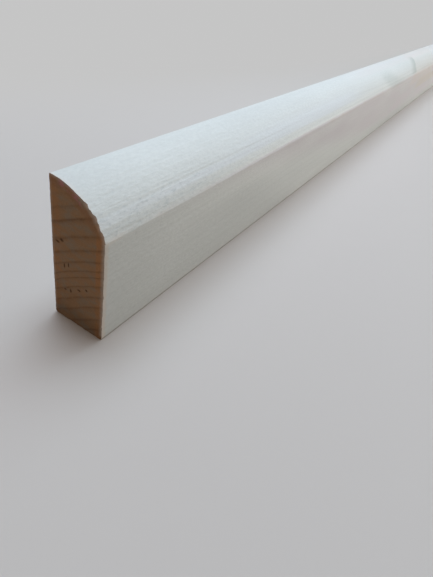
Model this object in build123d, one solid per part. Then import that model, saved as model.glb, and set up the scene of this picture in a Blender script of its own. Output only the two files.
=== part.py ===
from build123d import *
import math
import os

# Skirting board: one length of planed softwood, moulded to a rounded top and sawn square at both ends.
#
# The board stands as it is fitted. Its narrow bottom edge is on the floor and its back is to the wall.
#   +X runs along the length, +Y points to the wall behind the board, +Z is up.
# The origin is the middle of the bottom edge. All sizes are in millimetres.

# Stock sizes
LENGTH = 2400.0
HEIGHT = 40.0
THICKNESS = 16.0

# Moulded top: one arc, level where it leaves the top flat, that meets the front face at a blunt arris
TOP_FLAT = 1.0
ROUND_DROP = 10.5

# Edges taken off by the sander
ARRIS_RADIUS = 2.0
FRONT_FOOT_RADIUS = 0.6
BACK_FOOT_RADIUS = 0.8
BACK_TOP_RADIUS = 0.3

# Where the faces lie
FRONT = -THICKNESS / 2
BACK = THICKNESS / 2
NEAR_END = -LENGTH / 2
ARRIS_HEIGHT = HEIGHT - ROUND_DROP


def moulded_section():
    """The outline across the board, drawn in the plane of the near end and seen from it."""
    # On this plane the first axis runs towards the wall and the second one up.
    near_end_plane = Plane(origin=(NEAR_END, 0, 0), x_dir=(0, 1, 0), z_dir=(1, 0, 0))
    foot_front = (FRONT, 0)
    foot_back = (BACK, 0)
    top_back = (BACK, HEIGHT)
    round_start = (BACK - TOP_FLAT, HEIGHT)
    arris = (FRONT, ARRIS_HEIGHT)
    with BuildSketch(near_end_plane) as section:
        with BuildLine():
            Polyline(arris, foot_front, foot_back, top_back, round_start)
            TangentArc(round_start, arris, tangent=(-1, 0))
        make_face()
    return section.sketch


def long_edge(solid, y, z):
    """The edge along the whole board that passes nearest to a point of the section."""
    along = solid.edges().filter_by(Axis.X)
    return min(along, key=lambda edge: math.hypot(edge.center().Y - y, edge.center().Z - z))


def skirting_board():
    """The board: the moulded section along its length, with its long edges eased."""
    board = extrude(moulded_section(), amount=LENGTH)
    eased = (
        (FRONT, ARRIS_HEIGHT, ARRIS_RADIUS),
        (FRONT, 0, FRONT_FOOT_RADIUS),
        (BACK, 0, BACK_FOOT_RADIUS),
        (BACK, HEIGHT, BACK_TOP_RADIUS),
    )
    for y, z, radius in eased:
        board = fillet(long_edge(board, y, z), radius)
    return board


def main():
    os.makedirs("parts", exist_ok=True)
    board = skirting_board()
    export_step(board, "parts/skirting_board.step")
    drop = ROUND_DROP
    reach = THICKNESS - TOP_FLAT
    print("radius of the moulded top:", round((reach**2 + drop**2) / (2 * drop), 2))
    print("volume in cubic centimetres:", round(board.volume / 1000, 1))


main()
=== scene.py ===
# %% [markdown]
# # A skirting board, planed, moulded and sawn
# This lesson dresses one length of raw softwood skirting board. The board was planed on all
# sides, moulded to a rounded top, sanded, and cut to length with a saw.
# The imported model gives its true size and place. Everything here is in metres, in that same frame:
# X along the board, Y towards the wall behind it, Z up.

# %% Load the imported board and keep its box
import math

import bmesh
import bpy
from mathutils import Matrix, Vector


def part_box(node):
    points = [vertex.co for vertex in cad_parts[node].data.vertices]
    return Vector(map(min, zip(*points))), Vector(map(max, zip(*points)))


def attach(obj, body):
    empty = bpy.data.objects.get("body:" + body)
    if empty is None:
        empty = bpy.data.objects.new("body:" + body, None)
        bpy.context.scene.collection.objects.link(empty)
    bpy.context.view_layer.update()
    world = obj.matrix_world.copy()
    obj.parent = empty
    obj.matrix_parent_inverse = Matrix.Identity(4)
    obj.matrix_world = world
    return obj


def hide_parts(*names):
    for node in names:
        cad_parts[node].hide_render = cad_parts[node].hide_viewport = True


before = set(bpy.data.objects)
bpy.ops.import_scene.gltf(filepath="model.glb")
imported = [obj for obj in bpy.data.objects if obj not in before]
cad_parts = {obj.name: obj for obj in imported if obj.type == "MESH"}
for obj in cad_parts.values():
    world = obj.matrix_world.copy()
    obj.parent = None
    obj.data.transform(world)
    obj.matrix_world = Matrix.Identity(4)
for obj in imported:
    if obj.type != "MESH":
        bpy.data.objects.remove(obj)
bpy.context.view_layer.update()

MM = 0.001
board_low, board_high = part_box("skirting_board")
NEAR, FRONT, FOOT = board_low
FAR, BACK, TOP = board_high
LENGTH = FAR - NEAR
THICKNESS = BACK - FRONT
HEIGHT = TOP - FOOT
print(f"board: {LENGTH:.3f} x {THICKNESS:.4f} x {HEIGHT:.4f} m")

# %% [markdown]
# ## The camera
# The photograph is a close phone picture of the near end. Its lens and place were worked out from
# the board's own edges, which run to one vanishing point each. A phone's main camera sees about as
# much as a 27 mm lens does on full frame, and here it is only about 12 cm from the sawn end.
# It is placed from the bottom front corner of that end.

# %% Camera
LENS = 27.07
CAMERA_FROM_CORNER = Vector((-58.6, -52.6, 85.0)) * MM
HEADING = math.radians(23.06)
LOOK_DOWN = math.radians(38.47)
ROLL = math.radians(14.14)


def make_camera():
    camera = bpy.data.objects.new("camera", bpy.data.cameras.new("camera"))
    bpy.context.scene.collection.objects.link(camera)
    camera.data.lens = LENS
    camera.data.clip_start = 5 * MM
    camera.data.clip_end = 100
    forward = Vector((
        math.cos(HEADING) * math.cos(LOOK_DOWN),
        math.sin(HEADING) * math.cos(LOOK_DOWN),
        -math.sin(LOOK_DOWN),
    ))
    level_right = forward.cross(Vector((0, 0, 1))).normalized()
    level_up = level_right.cross(forward)
    up = level_up * math.cos(ROLL) - level_right * math.sin(ROLL)
    turn = Matrix((forward.cross(up), up, -forward)).transposed()
    place = Vector((NEAR, FRONT, FOOT)) + CAMERA_FROM_CORNER
    camera.matrix_world = Matrix.Translation(place) @ turn.to_4x4()
    bpy.context.scene.camera = camera
    return camera


camera = make_camera()
print("camera at", [round(value, 4) for value in camera.location])

# %% [markdown]
# ## Node helpers
# Every finish here is procedural. These helpers add a node and fill its sockets. Most give back
# its output, so that a material reads as a list of steps.

# %% Node helpers


def add_node(tree, kind, settings=None, inputs=None):
    """Adds a node. inputs names or numbers its sockets, each with a value or an output to link."""
    node = tree.nodes.new(kind)
    for name, value in (settings or {}).items():
        setattr(node, name, value)
    for key, value in (inputs or {}).items():
        if isinstance(value, bpy.types.NodeSocket):
            tree.links.new(value, node.inputs[key])
        else:
            node.inputs[key].default_value = value
    return node


def calc(tree, operation, *values):
    """One step of arithmetic."""
    node = add_node(tree, "ShaderNodeMath", {"operation": operation}, dict(enumerate(values)))
    return node.outputs[0]


def ramp_between(tree, value, low, high):
    """0 below low, 1 above high, with a smooth step between. It falls if low is above high."""
    settings = {"interpolation_type": "SMOOTHSTEP"}
    if low > high:
        inputs = {0: value, 1: high, 2: low, 3: 1.0, 4: 0.0}
    else:
        inputs = {0: value, 1: low, 2: high, 3: 0.0, 4: 1.0}
    return add_node(tree, "ShaderNodeMapRange", settings, inputs).outputs[0]


def mix_colour(tree, factor, first, second, blend="MIX"):
    """Goes from the first colour to the second. A Mix node takes them in its sockets 6 and 7."""
    settings = {"data_type": "RGBA", "blend_type": blend}
    inputs = {0: factor, 6: first, 7: second}
    return add_node(tree, "ShaderNodeMix", settings, inputs).outputs[2]


def noise(tree, place, sizes, detail=2.0, shift=(0.0, 0.0, 0.0)):
    """Cloudy noise from 0 to 1 whose lumps measure sizes, in millimetres, along X, Y and Z."""
    scale = [1 / size for size in sizes]
    inputs = {"Vector": place, "Location": shift, "Scale": scale}
    stretched = add_node(tree, "ShaderNodeMapping", None, inputs).outputs[0]
    inputs = {"Vector": stretched, "Scale": 1.0, "Detail": detail, "Roughness": 0.55}
    return add_node(tree, "ShaderNodeTexNoise", None, inputs).outputs[0]


def new_material(name):
    material = bpy.data.materials.new(name)
    material.use_nodes = True
    tree = material.node_tree
    return material, tree, tree.nodes["Principled BSDF"]


# %% [markdown]
# ## The stage
# A plain pale floor, so large that the camera never sees its edge, and an even pale surround.
# Near the board the floor takes real light and shadow, so the board stands on it. Further away it
# turns into the even tone of the surround. It sends back less light than it seems to, which keeps
# the sawn end in the shade that the photograph shows.

# %% Floor and surround
FLOOR_SIZE = 60.0
FLOOR_SEEN = (0.640, 0.555, 0.500, 1)
FLOOR_LIT = (0.30, 0.28, 0.25, 1)
EVEN_TONE = (0.56, 0.56, 0.56, 1)
EVEN_FROM = 0.06
EVEN_BEYOND = 0.26
SOONER_ALONG = 3.0
SURROUND_LIGHT = (0.267, 0.254, 0.234, 1)


def seen_directly(tree):
    """1 where the camera sees it, straight, in a gloss or through glass, and 0 for other light."""
    path = add_node(tree, "ShaderNodeLightPath").outputs
    seen = calc(tree, "MAXIMUM", path["Is Camera Ray"], path["Is Glossy Ray"])
    return calc(tree, "MAXIMUM", seen, path["Is Transmission Ray"])


def away_from_board(tree):
    """Distance over the floor from the board's middle line, in metres, but more further along."""
    place = add_node(tree, "ShaderNodeTexCoord").outputs["Object"]
    flat = add_node(tree, "ShaderNodeSeparateXYZ", None, {0: place}).outputs
    past_ends = calc(tree, "SUBTRACT", calc(tree, "ABSOLUTE", flat[0]), LENGTH / 2)
    inputs = {0: calc(tree, "MAXIMUM", past_ends, 0.0), 1: flat[1]}
    offset = add_node(tree, "ShaderNodeCombineXYZ", None, inputs).outputs[0]
    length = add_node(tree, "ShaderNodeVectorMath", {"operation": "LENGTH"}, {0: offset})
    along = calc(tree, "MAXIMUM", calc(tree, "SUBTRACT", flat[0], NEAR), 0.0)
    sooner = calc(tree, "MULTIPLY_ADD", along, SOONER_ALONG, 1.0)
    return calc(tree, "MULTIPLY", length.outputs["Value"], sooner)


def make_floor():
    bpy.ops.object.select_all(action="DESELECT")
    bpy.ops.mesh.primitive_plane_add(size=FLOOR_SIZE, location=(0, 0, FOOT))
    floor = bpy.context.active_object
    floor.name = "floor"
    bpy.ops.object.transform_apply(location=True, rotation=False, scale=False)
    material, tree, shader = new_material("matt_floor")
    seen = seen_directly(tree)
    colour = mix_colour(tree, seen, FLOOR_LIT, FLOOR_SEEN)
    tree.links.new(colour, shader.inputs["Base Color"])
    shader.inputs["Roughness"].default_value = 0.9
    shader.inputs["Specular IOR Level"].default_value = 0.2
    even = add_node(tree, "ShaderNodeEmission", None, {"Color": EVEN_TONE}).outputs[0]
    far = ramp_between(tree, away_from_board(tree), EVEN_FROM, EVEN_BEYOND)
    inputs = {0: calc(tree, "MULTIPLY", far, seen), 1: shader.outputs[0], 2: even}
    mixed = add_node(tree, "ShaderNodeMixShader", None, inputs).outputs[0]
    tree.links.new(mixed, tree.nodes["Material Output"].inputs["Surface"])
    floor.data.materials.append(material)
    return floor


def make_surround():
    world = bpy.data.worlds.new("surround")
    world.use_nodes = True
    tree = world.node_tree
    tree.nodes.clear()
    light = add_node(tree, "ShaderNodeBackground", None, {"Color": SURROUND_LIGHT}).outputs[0]
    even = add_node(tree, "ShaderNodeBackground", None, {"Color": EVEN_TONE}).outputs[0]
    inputs = {0: seen_directly(tree), 1: light, 2: even}
    mixed = add_node(tree, "ShaderNodeMixShader", None, inputs).outputs[0]
    add_node(tree, "ShaderNodeOutputWorld", None, {"Surface": mixed})
    bpy.context.scene.world = world


floor = make_floor()
make_surround()
print(f"{floor.name}: {FLOOR_SIZE:.0f} m square")

# %% [markdown]
# ## The light
# In the photograph soft cool daylight falls from above. The rounded top is brightest, the upright
# front gets about half as much and brightens further along, and the sawn end faces away from the
# light. Long soft lamps run along the board: one overhead, one low in front and a weak one low
# behind. A short lamp over the near end stands for the window there. All start beside or beyond
# the near end, so no lamp shines on the near end's face.

# %% Lamps
LAMP_REACH = 0.8
LAMPS = (
    ("overhead_lamp", 0.0, LENGTH + LAMP_REACH, 0.15, 1.6, 1.2, 28.8, (0.60, 0.83, 1.0)),
    ("window_lamp", 0.0, 0.35, 0.1, 0.5, 0.4, 1.3, (0.69, 0.80, 1.0)),
    ("front_lamp", 0.21, LENGTH + LAMP_REACH, -0.6, 0.12, 0.2, 6.75, (0.95, 0.98, 1.0)),
    ("back_lamp", 0.15, LENGTH + LAMP_REACH, 0.6, 0.12, 0.2, 3.0, (0.81, 0.94, 1.0)),
)


def make_long_lamp(name, start, end, y, z, width, watts, colour):
    """A soft lamp along the board, turned towards it. start and end count from the near end."""
    place = Vector((NEAR + (start + end) / 2, y, z))
    data = bpy.data.lights.new(name, "AREA")
    data.shape = "RECTANGLE"
    data.size = end - start
    data.size_y = width
    data.energy = watts
    data.color = colour
    lamp = bpy.data.objects.new(name, data)
    along = Vector((1, 0, 0))
    away = Vector((0, y, z)).normalized()
    turn = Matrix((along, away.cross(along), away)).transposed()
    lamp.matrix_world = Matrix.Translation(place) @ turn.to_4x4()
    lamp.visible_camera = False
    bpy.context.scene.collection.objects.link(lamp)
    return lamp


for lamp_sizes in LAMPS:
    print("lamp:", make_long_lamp(*lamp_sizes).name)
bpy.context.scene.view_settings.view_transform = "Standard"

# %% [markdown]
# ## The moulded section
# The moulder's cutter leaves one large arc that starts level at a narrow flat on top and meets the
# front face at a blunt arris. By hand this is drawn as an outline in the plane of the sawn end:
# a point is extruded along each straight side, and the arc is spun about its centre.

# %% Sizes of the section
TOP_FLAT = 1.0 * MM
ROUND_DROP = 10.5 * MM
ARRIS_HEIGHT = TOP - ROUND_DROP
round_reach = THICKNESS - TOP_FLAT
ROUND_RADIUS = (round_reach ** 2 + ROUND_DROP ** 2) / (2 * ROUND_DROP)
ROUND_SWEEP = math.acos(1 - ROUND_DROP / ROUND_RADIUS)
ROUND_CENTRE = Vector((NEAR, BACK - TOP_FLAT, TOP - ROUND_RADIUS))
ROUND_STEPS = 70
TOUCH = 0.02 * MM
print(f"round: radius {ROUND_RADIUS / MM:.2f} mm, sweep {math.degrees(ROUND_SWEEP):.1f} degrees")

# %% Draw the outline


def extrude_by(x, y, z):
    bpy.ops.mesh.extrude_region_move(TRANSFORM_OT_translate={"value": (x, y, z)})


def draw_outline():
    """Leaves the closed outline of the near end in edit mode."""
    bpy.ops.object.select_all(action="DESELECT")
    bpy.ops.mesh.primitive_plane_add(size=TOP_FLAT, location=(NEAR, BACK, TOP))
    board = bpy.context.active_object
    board.name = "planed_board"
    bpy.ops.object.transform_apply(location=True, rotation=False, scale=False)
    bpy.ops.object.mode_set(mode="EDIT")
    bpy.ops.mesh.select_all(action="SELECT")
    bpy.ops.mesh.merge(type="CENTER")
    extrude_by(0, -TOP_FLAT, 0)
    bpy.ops.mesh.spin(steps=ROUND_STEPS, angle=-ROUND_SWEEP, center=ROUND_CENTRE, axis=(1, 0, 0))
    extrude_by(0, 0, FOOT - ARRIS_HEIGHT)
    extrude_by(0, THICKNESS, 0)
    extrude_by(0, 0, HEIGHT)
    bpy.ops.mesh.select_all(action="SELECT")
    bpy.ops.mesh.remove_doubles(threshold=TOUCH)
    return board


board = draw_outline()
print("outline:", len(bmesh.from_edit_mesh(board.data).verts), "points")

# %% [markdown]
# ## Select by place
# A person clicks on the points and edges to work on. A script finds them by where they are: a
# test looks at each one's place and says whether it belongs.

# %% Selecting points and edges


def clear_selection(mesh, mode):
    bpy.ops.mesh.select_mode(type=mode)
    bm = bmesh.from_edit_mesh(mesh)
    for part in (bm.verts, bm.edges, bm.faces):
        for element in part:
            element.select = False
    return bm


def select_points(mesh, test):
    """Selects the points whose place passes the test, and returns how many."""
    bm = clear_selection(mesh, "VERT")
    for vert in bm.verts:
        if test(vert.co):
            vert.select = True
    bm.select_flush(True)
    bmesh.update_edit_mesh(mesh)
    return sum(vert.select for vert in bm.verts)


def select_edges(mesh, test):
    """Selects the edges that pass the test of their two end points, and returns how many."""
    bm = clear_selection(mesh, "EDGE")
    for edge in bm.edges:
        if test(edge.verts[0].co, edge.verts[1].co):
            edge.select_set(True)
    bmesh.update_edit_mesh(mesh)
    return sum(edge.select for edge in bm.edges)


# %% [markdown]
# ## Ease the long edges
# The sander takes every long edge off a little. Each corner of the outline gets a small round by a
# bevel of its point. The blunt arris turns by only about 20 degrees, so its round is short.

# %% Round the corners of the outline
EDGE_STEPS = 4
ARRIS_RADIUS = 2.0 * MM
FRONT_FOOT_RADIUS = 0.6 * MM
BACK_FOOT_RADIUS = 0.8 * MM
BACK_TOP_RADIUS = 0.3 * MM
SQUARE_TURN = math.pi / 2
ARRIS_TURN = SQUARE_TURN - ROUND_SWEEP
CORNERS = (
    (FRONT, ARRIS_HEIGHT, ARRIS_RADIUS, ARRIS_TURN),
    (FRONT, FOOT, FRONT_FOOT_RADIUS, SQUARE_TURN),
    (BACK, FOOT, BACK_FOOT_RADIUS, SQUARE_TURN),
    (BACK, TOP, BACK_TOP_RADIUS, SQUARE_TURN),
)


def round_corner(mesh, y, z, radius, turn):
    """Rounds the outline's corner at y and z. turn is the angle by which it turns there."""
    corner = Vector((NEAR, y, z))
    select_points(mesh, lambda co: (co - corner).length < TOUCH)
    cut_back = radius * math.tan(turn / 2)
    bpy.ops.mesh.bevel(offset=cut_back, segments=EDGE_STEPS, affect="VERTICES", profile=0.5)


for corner_sizes in CORNERS:
    round_corner(board.data, *corner_sizes)
print("outline with eased corners:", len(bmesh.from_edit_mesh(board.data).verts), "points")

# %% [markdown]
# ## Divide the straight sides
# The sawn end will get real relief, so its mesh has to be fine, with cells of about 0.3 mm. The
# straight sides are divided first. Opposite sides get the same number of steps, so that the end
# can be filled with an even grid.

# %% Subdivide top, front, foot and back
STEPS_UP = 100
STEPS_ACROSS = ROUND_STEPS + 2
STRAIGHT_SIDES = (
    (2, TOP, 2),
    (1, FRONT, STEPS_UP),
    (2, FOOT, STEPS_ACROSS),
    (1, BACK, STEPS_UP),
)
SHORTEST_SIDE = 0.5 * MM

for axis, level, steps in STRAIGHT_SIDES:
    select_edges(
        board.data,
        lambda a, b: (a - b).length > SHORTEST_SIDE
        and abs(a[axis] - level) < TOUCH
        and abs(b[axis] - level) < TOUCH,
    )
    bpy.ops.mesh.subdivide(number_cuts=steps - 1)
print("divided outline:", len(bmesh.from_edit_mesh(board.data).verts), "points")

# %% [markdown]
# ## Draw the board out to its length
# The outline is extruded along X. The steps are short near each end, where the sawn arris is
# frayed, and grow towards the plain middle. Each end is then closed by Grid Fill between the
# rounded top and the foot, which gives even, square cells.

# %% Extrude and fill the ends
FIRST_STEP = 0.25 * MM
STEP_GROWTH = 1.3
LONGEST_STEP = 26 * MM
CORNER_SHARE = 1 - math.cos(math.pi / 4)


def step_lengths():
    """Step lengths along the board, the same from either end."""
    grown = []
    step = FIRST_STEP
    while step < LONGEST_STEP:
        grown.append(step)
        step *= STEP_GROWTH
    middle = LENGTH - 2 * sum(grown)
    count = math.ceil(middle / LONGEST_STEP)
    return grown + [middle / count] * count + grown[::-1]


def select_rails(mesh, x):
    """Selects the rounded top and the foot of the outline at x, up to the middle of each corner."""
    top_limit = BACK - CORNER_SHARE * BACK_TOP_RADIUS
    front_limit = FRONT + CORNER_SHARE * FRONT_FOOT_RADIUS
    back_limit = BACK - CORNER_SHARE * BACK_FOOT_RADIUS
    foot_limit = FOOT + CORNER_SHARE * BACK_FOOT_RADIUS

    def on_rail(a, b):
        middle = (a + b) / 2
        if abs(a.x - x) > TOUCH or abs(b.x - x) > TOUCH:
            return False
        on_top = middle.z > ARRIS_HEIGHT and middle.y < top_limit
        on_foot = middle.z < foot_limit and front_limit < middle.y < back_limit
        return on_top or on_foot

    return select_edges(mesh, on_rail)


bpy.ops.mesh.select_mode(type="EDGE")
bpy.ops.mesh.select_all(action="SELECT")
for step in step_lengths():
    extrude_by(step, 0, 0)
for x in (NEAR, FAR):
    print("rail edges:", select_rails(board.data, x))
    bpy.ops.mesh.fill_grid(span=1)
bpy.ops.mesh.select_all(action="SELECT")
bpy.ops.mesh.normals_make_consistent(inside=False)
bpy.ops.mesh.select_all(action="DESELECT")
bm = bmesh.from_edit_mesh(board.data)
print("board:", len(bm.faces), "faces, open edges", sum(not edge.is_manifold for edge in bm.edges))
print("volume:", round(bm.calc_volume() / MM ** 3 / 1000, 1), "cubic centimetres")
bpy.ops.object.mode_set(mode="OBJECT")

# %% [markdown]
# ## What the saw leaves
# A saw tears the fibres where its teeth leave the wood. The rim of the end is chipped back by up
# to 0.8 mm, most of all low on the round, and a few fibres stand out as a burr.
# On the end itself the hard latewood stands a little proud of the soft earlywood.
# Each of these is a Displace modifier with a vertex group: the group says where and the modifier
# how far. A cloud texture makes most of them uneven. Sculpting would do too, but this can be tuned.

# %% Weights by place
HIGH_ROUND_SHARE = 0.3
HIGH_ROUND_FROM = 6 * MM
HIGH_ROUND_FADE = 3 * MM
FRONT_SHARE = 0.4
BACK_SHARE = 0.1
FOOT_SHARE = 0.3
RIM_REACH = 0.8 * MM
RIM_ALONG = 1.6 * MM
OUTERMOST = 0.9
LEAST_WEIGHT = 0.001


def nearest_edge(y, z):
    """How near the outline is, 1 at the outline and 0 once RIM_REACH inside it, and its share.

    The share says how much this edge tore. It is 1 low on the round and less elsewhere.
    """
    middle = Vector((y - ROUND_CENTRE.y, z - ROUND_CENTRE.z))
    to_round = ROUND_RADIUS - middle.length if y < ROUND_CENTRE.y else TOP - z
    if z < ROUND_CENTRE.z:
        to_round = RIM_REACH
    up_round = (y - FRONT - HIGH_ROUND_FROM) / HIGH_ROUND_FADE
    round_share = min(1.0, max(HIGH_ROUND_SHARE, 1 - up_round))
    edges = (
        (to_round, round_share),
        (y - FRONT, FRONT_SHARE),
        (BACK - y, BACK_SHARE),
        (z - FOOT, FOOT_SHARE),
    )
    depth, share = min(edges)
    return max(0.0, 1 - depth / RIM_REACH), share


def rim_weight(y, z):
    nearness, share = nearest_edge(y, z)
    return nearness * share


def from_either_end(x):
    return min(x - NEAR, FAR - x)


def weigh_points(piece, name, weigh):
    """Makes a vertex group whose weights come from each point's place, and returns its name."""
    group = piece.vertex_groups.new(name=name)
    for vert in piece.data.vertices:
        weight = weigh(vert.co)
        if weight > LEAST_WEIGHT:
            group.add([vert.index], min(weight, 1.0), "REPLACE")
    return name


def displace(piece, group_name, strength, direction="X", lump=None, mid_level=0.0):
    """Moves the group's points by up to strength, evenly or in cloudy lumps, and applies it."""
    modifier = piece.modifiers.new(group_name, "DISPLACE")
    modifier.vertex_group = group_name
    modifier.strength = strength
    modifier.direction = direction
    modifier.mid_level = mid_level
    if lump is not None:
        texture = bpy.data.textures.new(group_name, "CLOUDS")
        texture.noise_scale = lump
        texture.noise_depth = 2
        texture.contrast = 1.4
        modifier.texture = texture
        modifier.texture_coords = "LOCAL"
    bpy.ops.object.modifier_apply(modifier=group_name)


# %% Tear the rim of each end
TEAR_DEPTH = 0.68 * MM
TEAR_LUMP = 1.5 * MM
CHIP_DEPTH = 0.3 * MM
# Each chip is so far from the front, so far up and so wide, in millimetres.
CHIPS = ((5.3, 37.2, 0.8), (2.9, 35.1, 1.0), (0.6, 31.7, 0.6), (0.1, 14.4, 0.6))


def tear_weight(co):
    along = max(0.0, 1 - from_either_end(co.x) / RIM_ALONG)
    return along * rim_weight(co.y, co.z)


def chip_weight(co):
    nearest = 0.0
    for y, z, width in CHIPS:
        away = math.hypot((co.y - FRONT) / MM - y, (co.z - FOOT) / MM - z)
        nearest = max(nearest, math.exp(-((away / width) ** 2)))
    return nearest * tear_weight(co) if co.x < 0 else 0.0


def select_only(piece):
    bpy.ops.object.select_all(action="DESELECT")
    piece.select_set(True)
    bpy.context.view_layer.objects.active = piece


select_only(board)
rim_points = [
    vert.index for vert in board.data.vertices
    if vert.co.x < 0 and tear_weight(vert.co) > OUTERMOST
]
near_tear = weigh_points(board, "near_tear", lambda co: tear_weight(co) if co.x < 0 else 0)
far_tear = weigh_points(board, "far_tear", lambda co: tear_weight(co) if co.x > 0 else 0)
chips = weigh_points(board, "chips", chip_weight)
displace(board, near_tear, TEAR_DEPTH, lump=TEAR_LUMP)
displace(board, far_tear, -TEAR_DEPTH, lump=TEAR_LUMP)
displace(board, chips, CHIP_DEPTH)
rim = [board.data.vertices[index].co.x - NEAR for index in rim_points]
print(f"torn rim of the near end: {min(rim) / MM:.2f} to {max(rim) / MM:.2f} mm deep")

# %% [markdown]
# ## Growth rings
# A board is cut from a tree, so its grain is one solid pattern that every face cuts through. Each
# ring is a thin cylinder round the pith. Here the pith lies far below and in front of the board,
# so the rings cross the sawn end as nearly straight lines that rise towards the front.
# Within a ring the wood darkens from pale earlywood to a thin line of latewood, then starts afresh.
# The rings are not even, so the pattern counts them from the lines measured on the end.

# %% Sizes of the rings
PITH_Y = -46.0
PITH_Z = -76.0
MEASURED_Y = 7.3
RING_HEIGHTS = (2.6, 6.8, 10.2, 13.7, 16.6, 18.4, 21.2, 24.4, 28.0, 32.7, 36.1)
RING_WIDTH = 2.9
TRUNK_TAPER = 0.004
INNER_RINGS = 8
PITH_WANDER = 5.0
WANDER_SIZE = (330, 900, 900)
WANDER_GROWS_OVER = 160.0
RIPPLE = 0.9
RIPPLE_SIZE = (70, 7, 7)
LATEWOOD_SHARPNESS = 8.0
RING_EDGE = 0.2

ring_radii = [math.hypot(MEASURED_Y - PITH_Y, height - PITH_Z) for height in RING_HEIGHTS]
STRONG_RING = ring_radii[-2]
print("ring radii:", [round(radius, 1) for radius in ring_radii], "mm")

# %% Raise the latewood and roughen the cut
LATEWOOD_PROUD = 0.09 * MM
SAWN_ROUGH = 0.12 * MM
SAWN_LUMP = 0.55 * MM
BURR_RISE = 0.16 * MM
BURR_LUMP = 0.5 * MM
BURR_REACH = 1.2 * MM
SAWN_SKIN = 0.05 * MM


def ring_age_at(y, z):
    """How far through its ring the wood is at a point of the near end, from 0 to 1."""
    radius = math.hypot(y - PITH_Y, z - PITH_Z)
    inner = [value for value in ring_radii if value <= radius]
    outer = [value for value in ring_radii if value > radius]
    if not inner or not outer:
        return 0.0
    return (radius - inner[-1]) / (outer[0] - inner[-1])


def sawn_weight(co):
    """1 on the flat of either end, 0 at its rim and on the long faces."""
    on_end = from_either_end(co.x) < SAWN_SKIN
    return 1 - nearest_edge(co.y, co.z)[0] if on_end else 0.0


def latewood_weight(co):
    return sawn_weight(co) * ring_age_at((co.y - FRONT) / MM, (co.z - FOOT) / MM) ** 4


def burr_weight(co):
    """The rim of the long faces above the foot, strongest at the very end."""
    on_rim = nearest_edge(co.y, co.z)[0] > OUTERMOST and co.z > FOOT + MM
    return max(0.0, 1 - from_either_end(co.x) / BURR_REACH) if on_rim else 0.0


for side, sign in (("near", 1), ("far", -1)):
    latewood = weigh_points(
        board, f"{side}_latewood", lambda co: latewood_weight(co) if co.x * sign < 0 else 0
    )
    rough = weigh_points(
        board, f"{side}_rough", lambda co: sawn_weight(co) if co.x * sign < 0 else 0
    )
    displace(board, latewood, -sign * LATEWOOD_PROUD)
    displace(board, rough, sign * SAWN_ROUGH, lump=SAWN_LUMP, mid_level=0.3)
burr = weigh_points(board, "burr", burr_weight)
displace(board, burr, BURR_RISE, direction="NORMAL", lump=BURR_LUMP, mid_level=0.5)
board.vertex_groups.clear()
near_face, far_face = board.bound_box[0][0], board.bound_box[6][0]
print(f"burrs reach {(NEAR - near_face) / MM:.2f} and {(far_face - FAR) / MM:.2f} mm past the cuts")

# %% The ring pattern as nodes


def board_place(tree):
    """Place on the board in millimetres: X from the near end, Y from the front, Z from the foot."""
    place = add_node(tree, "ShaderNodeTexCoord").outputs["Object"]
    corner = [-NEAR / MM, -FRONT / MM, -FOOT / MM]
    inputs = {"Vector": place, "Location": corner, "Scale": [1 / MM] * 3}
    return add_node(tree, "ShaderNodeMapping", None, inputs).outputs[0]


def split(tree, vector):
    return add_node(tree, "ShaderNodeSeparateXYZ", None, {0: vector}).outputs


def centred(tree, value, size):
    """Turns noise from 0 to 1 into noise about zero, so that its full swing is size."""
    return calc(tree, "MULTIPLY", calc(tree, "SUBTRACT", value, 0.5), size)


def times(tree, *values):
    """The product of several masks."""
    product = values[0]
    for value in values[1:]:
        product = calc(tree, "MULTIPLY", product, value)
    return product


def band(tree, value, low, high, soft):
    """1 between low and high, falling to 0 over soft on either side."""
    rise = ramp_between(tree, value, low - soft, low)
    return times(tree, rise, ramp_between(tree, value, high + soft, high))


# %% Count the rings and darken the latewood


def count_rings(tree, radius):
    """Even rings, put right between the first and the last measured line by a colour ramp."""
    first, last = ring_radii[0], ring_radii[-1]
    put_right = [count - line / RING_WIDTH for count, line in enumerate(ring_radii)]
    middle = sum(put_right) / len(put_right)
    span = 2 * max(abs(value - middle) for value in put_right)
    where = add_node(tree, "ShaderNodeMapRange", None, {0: radius, 1: first, 2: last}).outputs[0]
    node = add_node(tree, "ShaderNodeValToRGB", None, {0: where})
    ramp = node.color_ramp
    for line in ring_radii[1:-1]:
        ramp.elements.new((line - first) / (last - first))
    for stop, value in zip(ramp.elements, put_right):
        level = (value - middle) / span + 0.5
        stop.color = (level, level, level, 1)
    share = calc(tree, "MULTIPLY_ADD", radius, 1 / RING_WIDTH, middle + INNER_RINGS)
    return calc(tree, "MULTIPLY_ADD", calc(tree, "SUBTRACT", node.outputs[0], 0.5), span, share)


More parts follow.
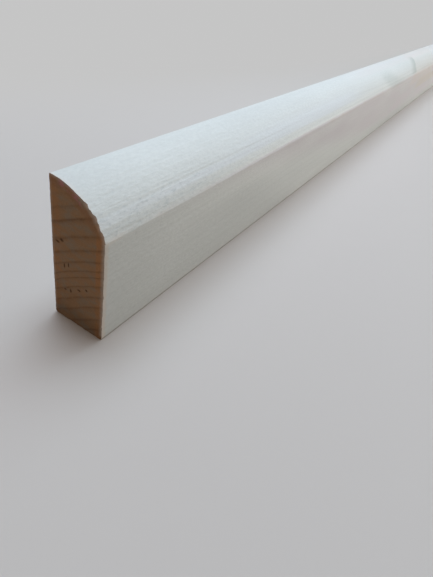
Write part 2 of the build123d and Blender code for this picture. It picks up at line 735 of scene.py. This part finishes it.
def latewood_nodes(tree, place):
    """How dark the latewood is: 0 in earlywood, and most where the one strong ring ends."""
    x, y, z = split(tree, place)
    leaving_end = ramp_between(tree, x, 0.0, WANDER_GROWS_OVER)
    wander = centred(tree, noise(tree, place, WANDER_SIZE, 1.0), 2 * PITH_WANDER)
    wander = calc(tree, "MULTIPLY", wander, leaving_end)
    ripple = centred(tree, noise(tree, place, RIPPLE_SIZE, 2.0), RIPPLE)
    from_pith = add_node(
        tree, "ShaderNodeCombineXYZ", None,
        {1: calc(tree, "SUBTRACT", y, PITH_Y), 2: calc(tree, "SUBTRACT", z, PITH_Z)},
    ).outputs[0]
    radius = add_node(tree, "ShaderNodeVectorMath", {"operation": "LENGTH"}, {0: from_pith})
    radius = calc(tree, "ADD", radius.outputs["Value"], wander)
    radius = calc(tree, "ADD", radius, ripple)
    radius = calc(tree, "MULTIPLY_ADD", x, TRUNK_TAPER, radius)
    age = calc(tree, "FRACT", count_rings(tree, radius))
    strong = band(tree, radius, STRONG_RING - 1.2, STRONG_RING + 0.6, 0.8)
    outermost = ramp_between(tree, radius, ring_radii[-1] + 1.2, ring_radii[-1] - 1.2)
    usual = calc(tree, "MULTIPLY_ADD", outermost, 0.32, 0.1)
    strength = calc(tree, "MULTIPLY_ADD", strong, 0.2, usual)
    darkening = calc(tree, "POWER", age, LATEWOOD_SHARPNESS)
    fading = ramp_between(tree, age, RING_EDGE, 0.0)
    return calc(tree, "MULTIPLY", calc(tree, "MAXIMUM", darkening, fading), strength)


# %% [markdown]
# ## Planed and sanded long grain
# Raw softwood is matt and very pale where it is planed. Close up, the sanded fibres make fine
# streaks along the board and a faint fuzz, and the growth rings hardly show. The sanded arris has
# an uneven warm line, painted light from above makes the upper part of the front a little lighter
# than its foot, and the wood looks warmer where the saw frayed the rim of the end.
# The tone also changes along the board. Painted shade darkens the first 30 mm at the near end, and
# painted light brightens the front near the arris and from 90 to 250 mm along. A cool band runs low
# on the round for the first 200 mm.
# Away from the near end the front turns rosier, and so does the top of the round. Further along
# the round cuts the side of a knot, and a straw-coloured stretch follows on the front. Each of
# these is a mask over the board's own millimetres, so each can be moved or made stronger alone.

# %% Colours of the long grain, and the knot in millimetres
EARLYWOOD = (0.715, 0.690, 0.640, 1)
LATEWOOD = (0.500, 0.450, 0.385, 1)
RINGS_SHOWN = 0.2
# How much painted light from above lifts the front from its foot to the arris, as a share.
FRONT_PAINTED_LIGHT = 0.10
ARRIS_TAN = (0.760, 0.650, 0.560, 1)
FRAYED_ROUND = (0.740, 0.680, 0.610, 1)
FRAYED_FRONT = (0.680, 0.560, 0.460, 1)
FRONT_ROSE = (0.715, 0.620, 0.615, 1)
FRONT_STRAW = (0.700, 0.620, 0.540, 1)
TOP_ROSE = (0.760, 0.690, 0.640, 1)
LOW_ROUND_COOL = (0.800, 0.790, 0.790, 1)
KNOT_GREY = (0.430, 0.450, 0.395, 1)
FUZZ_SHADE = (0.500, 0.500, 0.480, 1)
KNOT_PLACE = (308.0, 9.0, 38.0)
KNOT_REACH = (52.0, 15.2, 15.2)
KNOT_BEND = 34.4
KNOT_STRAIGHTEN = 0.041
ARRIS_UP = (ARRIS_HEIGHT - FOOT) / MM

# %% Small steps that both finishes use


def scale_tone(tree, colour, tone):
    """Makes the colour lighter or darker by a share, such as 0.05 or -0.05."""
    level = calc(tree, "ADD", tone, 1.0)
    grey = add_node(tree, "ShaderNodeCombineColor", None, {0: level, 1: level, 2: level})
    return mix_colour(tree, 1.0, colour, grey.outputs[0], "MULTIPLY")


def bump(tree, shader, height, strength, distance):
    inputs = {"Strength": strength, "Distance": distance, "Height": height}
    node = add_node(tree, "ShaderNodeBump", None, inputs)
    tree.links.new(node.outputs[0], shader.inputs["Normal"])


# %% Marks on the long faces


def knot_distance(tree, place):
    """1 on the knot's rim, less inside it."""
    scale = [1 / reach for reach in KNOT_REACH]
    shift = [-where / reach for where, reach in zip(KNOT_PLACE, KNOT_REACH)]
    inputs = {"Vector": place, "Location": shift, "Scale": scale}
    local = add_node(tree, "ShaderNodeMapping", None, inputs).outputs[0]
    length = add_node(tree, "ShaderNodeVectorMath", {"operation": "LENGTH"}, {0: local})
    uneven = centred(tree, noise(tree, place, (14, 5, 5), 2.0), 0.12)
    return calc(tree, "ADD", length.outputs["Value"], uneven)


def knot_mask(tree, place, x, z):
    """The rim of the knot: a grey-green crescent on its far side and a broad faint arm nearer.

    The crescent runs straight down from KNOT_BEND to the arris.
    """
    knot = knot_distance(tree, place)
    below_bend = calc(tree, "MAXIMUM", calc(tree, "SUBTRACT", KNOT_BEND, z), 0.0)
    far_rim = calc(tree, "MULTIPLY_ADD", below_bend, -KNOT_STRAIGHTEN, knot)
    crescent = times(
        tree, ramp_between(tree, far_rim, 1.06, 0.98), ramp_between(tree, far_rim, 0.62, 0.98),
        ramp_between(tree, x, 322.0, 345.0), ramp_between(tree, z, 30.0, 31.6), 0.5,
    )
    arm = times(
        tree, ramp_between(tree, knot, 1.25, 1.0), ramp_between(tree, knot, 0.45, 0.85),
        ramp_between(tree, x, 322.0, 294.0), ramp_between(tree, z, 39.5, 35.0), 0.27,
    )
    on_round = ramp_between(tree, z, 27.5, 29.5)
    below_top = ramp_between(tree, z, 39.7, 38.6)
    return times(tree, calc(tree, "MAXIMUM", crescent, arm), on_round, below_top)


def knot_shoulder_mask(tree, x, z):
    """Warmer wood just beyond the knot, most of all under the arris."""
    under_arris = band(tree, z, 23.0, 29.8, 3.0)
    weight = calc(tree, "MULTIPLY_ADD", under_arris, 0.2, 0.2)
    return times(tree, band(tree, x, 352.0, 440.0, 14.0), ramp_between(tree, z, 18.0, 24.0), weight)


def arris_mask(tree, place, x, y, z):
    """The warm line that the sander left along the arris, in patches."""
    away = calc(tree, "ABSOLUTE", calc(tree, "SUBTRACT", z, ARRIS_UP + 0.1))
    on_line = times(tree, ramp_between(tree, away, 1.1, 0.3), ramp_between(tree, y, 2.0, 1.0))
    worn = ramp_between(tree, noise(tree, place, (16, 3, 3), 2.0), 0.45, 0.65)
    further = ramp_between(tree, x, 20.0, 120.0)
    weight = calc(tree, "MULTIPLY_ADD", worn, 0.4, calc(tree, "MULTIPLY", further, 0.04))
    return times(tree, on_line, weight)


def rosy_front_mask(tree, place, x, y, z):
    """The front turns a little rosier away from the near end, first high up."""
    where = times(tree, ramp_between(tree, z, 2.0, 9.0), ramp_between(tree, y, 0.5, 0.1))
    patches = ramp_between(tree, noise(tree, place, (50, 12, 12), 1.0), 0.2, 0.7)
    weight = calc(tree, "MULTIPLY_ADD", patches, 0.35, 0.35)
    slanted = calc(tree, "MULTIPLY_ADD", z, 8.0, x)
    return times(tree, where, ramp_between(tree, slanted, 240.0, 340.0), weight)


def straw_front_mask(tree, x, y, z):
    """A straw-coloured stretch half-way up the front, about 150 mm long, past the knot."""
    where = times(tree, band(tree, z, 16.5, 21.5, 3.0), ramp_between(tree, y, 0.5, 0.1))
    along = times(tree, ramp_between(tree, x, 372.0, 392.0), ramp_between(tree, x, 600.0, 460.0))
    return times(tree, where, along, 0.8)


def frayed_mask(tree, place, x, reach):
    """The rim of either end, with a ragged edge."""
    from_end = calc(tree, "MINIMUM", x, calc(tree, "SUBTRACT", LENGTH / MM, x))
    uneven = centred(tree, noise(tree, place, (1, 1.1, 1.1), 3.0), reach)
    return ramp_between(tree, calc(tree, "ADD", from_end, uneven), reach, 0.3 * reach)


def low_round_mottle(tree, place, x, z):
    """Raised fibres low on the round, close to the near end."""
    where = times(tree, band(tree, z, 30.5, 34.5, 2.0), ramp_between(tree, x, 90.0, 8.0))
    speckle = ramp_between(tree, noise(tree, place, (1.7, 0.7, 0.7), 3.0), 0.48, 0.75)
    return times(tree, where, speckle, 0.55)


def cool_low_round_mask(tree, x, z):
    """A lighter, cooler band low on the round. It is narrow at first and ends at about 200 mm."""
    narrow = band(tree, z, 33.2, 33.8, 0.9)
    wide = times(
        tree, ramp_between(tree, z, 33.2, 34.2), ramp_between(tree, z, 38.0, 35.0),
        ramp_between(tree, x, 30.0, 100.0),
    )
    weight = calc(tree, "MULTIPLY_ADD", ramp_between(tree, x, 10.0, 40.0), 0.2, 0.3)
    ending = ramp_between(tree, x, 215.0, 165.0)
    return times(tree, calc(tree, "MAXIMUM", narrow, wide), ending, weight)


def rosy_top_mask(tree, x, z):
    """The top of the round is a little rosier from 200 mm on, and more so past the knot."""
    first = calc(tree, "MULTIPLY", ramp_between(tree, x, 180.0, 240.0), 0.55)
    weight = calc(tree, "MULTIPLY_ADD", ramp_between(tree, x, 325.0, 365.0), 0.35, first)
    return times(tree, weight, ramp_between(tree, z, 38.0, 39.3))


# %% The planed finish
STREAK_SIZE = (60, 0.7, 0.7)
FUZZ_SIZE = (1.6, 0.8, 0.8)
CLOUD_SIZE = (45, 9, 9)
FRAYED_LOW_REACH = 1.9
FRAYED_HIGH_REACH = 1.1


def tone_of_long_grain(tree, streaks, fuzz, clouds, z):
    """Lighter or darker by a few per cent, in streaks, fuzz and clouds, and by painted light from
    foot to arris.
    """
    tone = calc(tree, "ADD", centred(tree, streaks, 0.05), centred(tree, fuzz, 0.16))
    tone = calc(tree, "ADD", tone, centred(tree, clouds, 0.10))
    # Painted light from above: darker at the foot and lighter towards the arris.
    height = {0: z, 1: 0.0, 2: ARRIS_UP, 3: -FRONT_PAINTED_LIGHT / 2, 4: FRONT_PAINTED_LIGHT / 2}
    front = add_node(tree, "ShaderNodeMapRange", None, height).outputs[0]
    return calc(tree, "ADD", tone, front)


def tone_along(tree, x, z):
    """Darker at the near end, a painted shade, and a little duller from about 300 mm on.

    The front is lighter near the arris and from 90 to 250 mm along, both painted light, and duller
    past the knot.
    """
    on_front = ramp_between(tree, z, 34.0, 30.0)
    # Painted shade: the first 30 mm at the near end are darker.
    near = calc(tree, "MULTIPLY", ramp_between(tree, x, 30.0, 0.0), -0.07)
    # Painted light: the front is lighter high up, towards the arris.
    high = times(tree, ramp_between(tree, z, 18.0, 27.0), ramp_between(tree, x, 15.0, 60.0), 0.09)
    # Painted light: the front is lighter from about 90 to 250 mm along.
    slanted = calc(tree, "MULTIPLY_ADD", z, 2.0, x)
    lighter = times(
        tree, ramp_between(tree, slanted, 98.0, 140.0), ramp_between(tree, x, 320.0, 190.0), 0.12,
    )
    further = calc(tree, "MULTIPLY", ramp_between(tree, x, 230.0, 340.0), -0.045)
    past_knot = times(
        tree, ramp_between(tree, x, 372.0, 395.0), ramp_between(tree, z, 10.0, 14.0), -0.035,
    )
    lighter = calc(tree, "ADD", lighter, past_knot)
    front = times(tree, calc(tree, "ADD", high, lighter), on_front)
    return calc(tree, "ADD", calc(tree, "ADD", front, near), further)


def tone_of_round(tree, x, z):
    """Lighter under the arris by painted light, duller just above it and all over the round past the
    knot.
    """
    # Painted light: the front just under the arris is lighter from about 60 to 100 mm on.
    under_arris = times(
        tree, band(tree, z, 27.3, 29.2, 0.7), ramp_between(tree, x, 60.0, 100.0), 0.04,
    )
    above_arris = times(tree, band(tree, z, 31.3, 31.7, 0.5), -0.045)
    near_arris = calc(tree, "ADD", above_arris, under_arris)
    further = times(
        tree, band(tree, z, 29.9, 31.5, 0.7), ramp_between(tree, x, 160.0, 210.0),
        ramp_between(tree, x, 700.0, 500.0), -0.05,
    )
    past_knot = times(
        tree, ramp_between(tree, z, 29.5, 31.0), ramp_between(tree, z, 38.8, 37.2),
        ramp_between(tree, x, 335.0, 360.0), -0.055,
    )
    return calc(tree, "ADD", calc(tree, "ADD", near_arris, further), past_knot)


def make_planed():
    material, tree, shader = new_material("planed_softwood")
    place = board_place(tree)
    x, y, z = split(tree, place)
    late = times(tree, latewood_nodes(tree, place), RINGS_SHOWN)
    colour = mix_colour(tree, late, EARLYWOOD, LATEWOOD)
    streaks = noise(tree, place, STREAK_SIZE, 4.0)
    fuzz = noise(tree, place, FUZZ_SIZE, 3.0)
    clouds = noise(tree, place, CLOUD_SIZE, 2.0)
    colour = scale_tone(tree, colour, tone_of_long_grain(tree, streaks, fuzz, clouds, z))
    colour = scale_tone(tree, colour, tone_along(tree, x, z))
    colour = scale_tone(tree, colour, tone_of_round(tree, x, z))
    colour = mix_colour(tree, cool_low_round_mask(tree, x, z), colour, LOW_ROUND_COOL)
    colour = mix_colour(tree, rosy_top_mask(tree, x, z), colour, TOP_ROSE)
    colour = mix_colour(tree, low_round_mottle(tree, place, x, z), colour, FUZZ_SHADE)
    colour = mix_colour(tree, rosy_front_mask(tree, place, x, y, z), colour, FRONT_ROSE)
    colour = mix_colour(tree, straw_front_mask(tree, x, y, z), colour, FRONT_STRAW)
    colour = mix_colour(tree, knot_shoulder_mask(tree, x, z), colour, ARRIS_TAN)
    colour = mix_colour(tree, arris_mask(tree, place, x, y, z), colour, ARRIS_TAN)
    colour = mix_colour(tree, knot_mask(tree, place, x, z), colour, KNOT_GREY)
    low = ramp_between(tree, z, 31.0, 28.5)
    frayed_low = times(tree, frayed_mask(tree, place, x, FRAYED_LOW_REACH), low, 0.7)
    frayed_high = times(tree, frayed_mask(tree, place, x, FRAYED_HIGH_REACH), 0.8)
    colour = mix_colour(tree, frayed_high, colour, FRAYED_ROUND)
    colour = mix_colour(tree, frayed_low, colour, FRAYED_FRONT)
    tree.links.new(colour, shader.inputs["Base Color"])
    shader.inputs["Roughness"].default_value = 0.78
    shader.inputs["Specular IOR Level"].default_value = 0.25
    height = calc(tree, "MULTIPLY_ADD", fuzz, 0.8, streaks)
    bump(tree, shader, height, 0.5, 0.25 * MM)
    return material


planed = make_planed()
print("finish:", planed.name, len(planed.node_tree.nodes), "nodes")

# %% [markdown]
# ## Sawn end grain
# The saw cuts across the fibres and leaves them open like the ends of straws. They soak up light,
# so an end is always darker and warmer than a face of the same board. The rings show as thin dark
# lines. It is more orange towards the front and the back, and purplish and rusty where the moulder
# bruised the rim. The frayed rim itself is paler, with a painted highlight where its fibres catch
# the light, and a painted shade darkens the end towards the foot. A few torn fibres and resin
# canals are dark dabs.

# %% Colours of the end grain
END_EARLYWOOD = (0.415, 0.225, 0.120, 1)
END_LATEWOOD = (0.210, 0.100, 0.050, 1)
END_GREY = (0.365, 0.245, 0.165, 1)
END_ORANGE = (0.510, 0.220, 0.090, 1)
END_PURPLE = (0.540, 0.220, 0.205, 1)
END_RUST = (0.370, 0.165, 0.085, 1)
# Partly the paler frayed fibres, partly a painted highlight where they catch the light.
END_FRAYED_HIGHLIGHT = (0.660, 0.510, 0.430, 1)
DAB_BROWN = (0.090, 0.040, 0.018, 1)
# Each dab is so far from the front, so far up, so wide and so high, in millimetres.
DABS = (
    (14.2, 23.5, 0.60, 0.35),
    (12.9, 24.5, 0.55, 0.45),
    (12.3, 17.4, 0.22, 0.75),
    (10.9, 18.3, 0.22, 0.65),
    (12.2, 10.1, 0.35, 0.25),
    (10.4, 10.5, 0.30, 0.60),
    (7.6, 12.3, 0.50, 0.30),
    (5.2, 13.7, 0.35, 0.40),
)

# %% The sawn finish


def dab_mask(tree, place):
    """1 in the middle of each dab of the near end and 0 away from them."""
    nearest = None
    for dab_y, dab_z, width, height in DABS:
        inputs = {
            "Vector": place,
            "Location": (0, -dab_y / width, -dab_z / height),
            "Scale": (0, 1 / width, 1 / height),
        }
        local = add_node(tree, "ShaderNodeMapping", None, inputs).outputs[0]
        length = add_node(tree, "ShaderNodeVectorMath", {"operation": "LENGTH"}, {0: local})
        distance = length.outputs["Value"]
        nearest = distance if nearest is None else calc(tree, "MINIMUM", nearest, distance)
    smear = centred(tree, noise(tree, place, (1, 0.5, 0.5), 2.0), 0.9)
    return ramp_between(tree, calc(tree, "ADD", nearest, smear), 1.5, 0.3)


def depth_under_round(tree, y, z):
    """How far inside the rim of the round a point of the end is, in millimetres."""
    middle = [ROUND_CENTRE.y - FRONT, ROUND_CENTRE.z - FOOT]
    above = calc(tree, "MAXIMUM", calc(tree, "SUBTRACT", z, middle[1] / MM), 0.0)
    inputs = {1: calc(tree, "SUBTRACT", y, middle[0] / MM), 2: above}
    from_middle = add_node(tree, "ShaderNodeCombineXYZ", None, inputs).outputs[0]
    length = add_node(tree, "ShaderNodeVectorMath", {"operation": "LENGTH"}, {0: from_middle})
    return calc(tree, "SUBTRACT", ROUND_RADIUS / MM, length.outputs["Value"])


def orange_mask(tree, place, y, z):
    """Towards the front and the back the wood is more orange, most in a strip inside the front."""
    strip = times(tree, band(tree, y, 1.0, 2.1, 0.5), band(tree, z, 17.0, 30.0, 2.5))
    back = ramp_between(tree, y, 12.5, 14.5)
    warm_patches = ramp_between(tree, noise(tree, place, (1, 2.5, 5.0), 2.0, (0, 9, 0)), 0.35, 0.6)
    warm_patches = calc(tree, "MAXIMUM", warm_patches, ramp_between(tree, z, 31.0, 35.0))
    patched = times(tree, calc(tree, "MAXIMUM", band(tree, y, 0.8, 1.8, 0.8), back), warm_patches)
    weaker = calc(tree, "MULTIPLY", patched, 0.55)
    return calc(tree, "MAXIMUM", calc(tree, "MULTIPLY", strip, 0.75), weaker)


def bruise_mask(tree, place, y, z, depth):
    """A band about a millimetre wide just under the rim of the round."""
    patches = ramp_between(tree, noise(tree, place, (1, 1.3, 1.3), 2.0), 0.38, 0.6)
    where = times(tree, band(tree, depth, -1.0, 1.1, 0.7), band(tree, y, 7.5, 12.5, 1.5))
    return times(tree, where, ramp_between(tree, z, 28.0, 32.0), patches, 0.85)


def rust_mask(tree, place, z, depth):
    """A darker, redder band inside the round."""
    patches = ramp_between(tree, noise(tree, place, (1, 1.8, 1.8), 2.0, (0, 4, 0)), 0.3, 0.55)
    where = times(tree, band(tree, depth, 1.0, 2.2, 0.7), ramp_between(tree, z, 30.0, 33.0))
    return times(tree, where, patches, 0.5)


def frayed_rim_highlight_mask(tree, place, y, z, depth):
    """The very rim of the end, paler where the fibres frayed and lighter where they catch the light,
    a painted highlight. There are fewer at the back.
    """
    uneven = centred(tree, noise(tree, place, (1, 0.8, 0.8), 3.0), 0.6)
    deeper = calc(tree, "ADD", depth, 0.25)
    front = calc(tree, "ADD", calc(tree, "MINIMUM", y, deeper), uneven)
    back = calc(tree, "ADD", calc(tree, "SUBTRACT", THICKNESS / MM, y), uneven)
    back = calc(tree, "MULTIPLY", ramp_between(tree, back, 0.9, 0.0), 0.5)
    rim = calc(tree, "MAXIMUM", ramp_between(tree, front, 1.2, -0.2), back)
    return times(tree, rim, ramp_between(tree, z, 0.5, 2.0), 0.65)


def make_sawn():
    material, tree, shader = new_material("sawn_end_grain")
    place = board_place(tree)
    x, y, z = split(tree, place)
    patches = noise(tree, place, (1, 4.0, 2.0), 3.0)
    colour = mix_colour(tree, ramp_between(tree, patches, 0.4, 0.7), END_EARLYWOOD, END_GREY)
    colour = mix_colour(tree, orange_mask(tree, place, y, z), colour, END_ORANGE)
    uneven = calc(tree, "MULTIPLY_ADD", noise(tree, place, (1, 2.5, 2.5), 1.0), 1.2, 0.45)
    late = times(tree, latewood_nodes(tree, place), uneven)
    colour = mix_colour(tree, calc(tree, "MINIMUM", late, 1.0), colour, END_LATEWOOD)
    depth = depth_under_round(tree, y, z)
    colour = mix_colour(tree, rust_mask(tree, place, z, depth), colour, END_RUST)
    colour = mix_colour(tree, bruise_mask(tree, place, y, z, depth), colour, END_PURPLE)
    pores = noise(tree, place, (1, 0.45, 0.35), 3.0)
    # Painted shade: the end darkens towards the foot, where it stands on the floor.
    foot = calc(tree, "MULTIPLY", ramp_between(tree, z, 7.0, 2.5), -0.22)
    foot = calc(tree, "MULTIPLY_ADD", ramp_between(tree, z, 14.0, 8.0), -0.09, foot)
    tone = calc(tree, "ADD", centred(tree, pores, 0.35), foot)
    colour = scale_tone(tree, colour, tone)
    # Painted highlight, in part: the frayed rim is paler and catches the light.
    colour = mix_colour(tree, frayed_rim_highlight_mask(tree, place, y, z, depth), colour, END_FRAYED_HIGHLIGHT)
    dabs = times(tree, dab_mask(tree, place), ramp_between(tree, x, 40.0, 20.0), 0.85)
    colour = mix_colour(tree, dabs, colour, DAB_BROWN)
    tree.links.new(colour, shader.inputs["Base Color"])
    shader.inputs["Roughness"].default_value = 0.92
    shader.inputs["Specular IOR Level"].default_value = 0.1
    bump(tree, shader, pores, 0.5, 0.15 * MM)
    return material


sawn = make_sawn()
print("finish:", sawn.name, len(sawn.node_tree.nodes), "nodes")

# %% [markdown]
# ## Put the finishes on
# A face that looks along the board was made by the saw and gets the end grain. The others were
# planed. Smooth shading joins the facets of the round, and a limit on the angle keeps the sawn
# edges sharp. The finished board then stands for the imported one.

# %% Give each face its finish
SAWN_SLOT = 1
LOOKS_ALONG = 0.5
board.data.materials.append(planed)
board.data.materials.append(sawn)
sawn_faces = 0
for face in board.data.polygons:
    if abs(face.normal.x) > LOOKS_ALONG:
        face.material_index = SAWN_SLOT
        sawn_faces += 1
print("sawn faces:", sawn_faces)

# %% Shade and place the piece
SMOOTH_UP_TO = math.radians(35)
select_only(board)
bpy.ops.object.shade_smooth_by_angle(angle=SMOOTH_UP_TO)
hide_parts("skirting_board")
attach(board, "root")
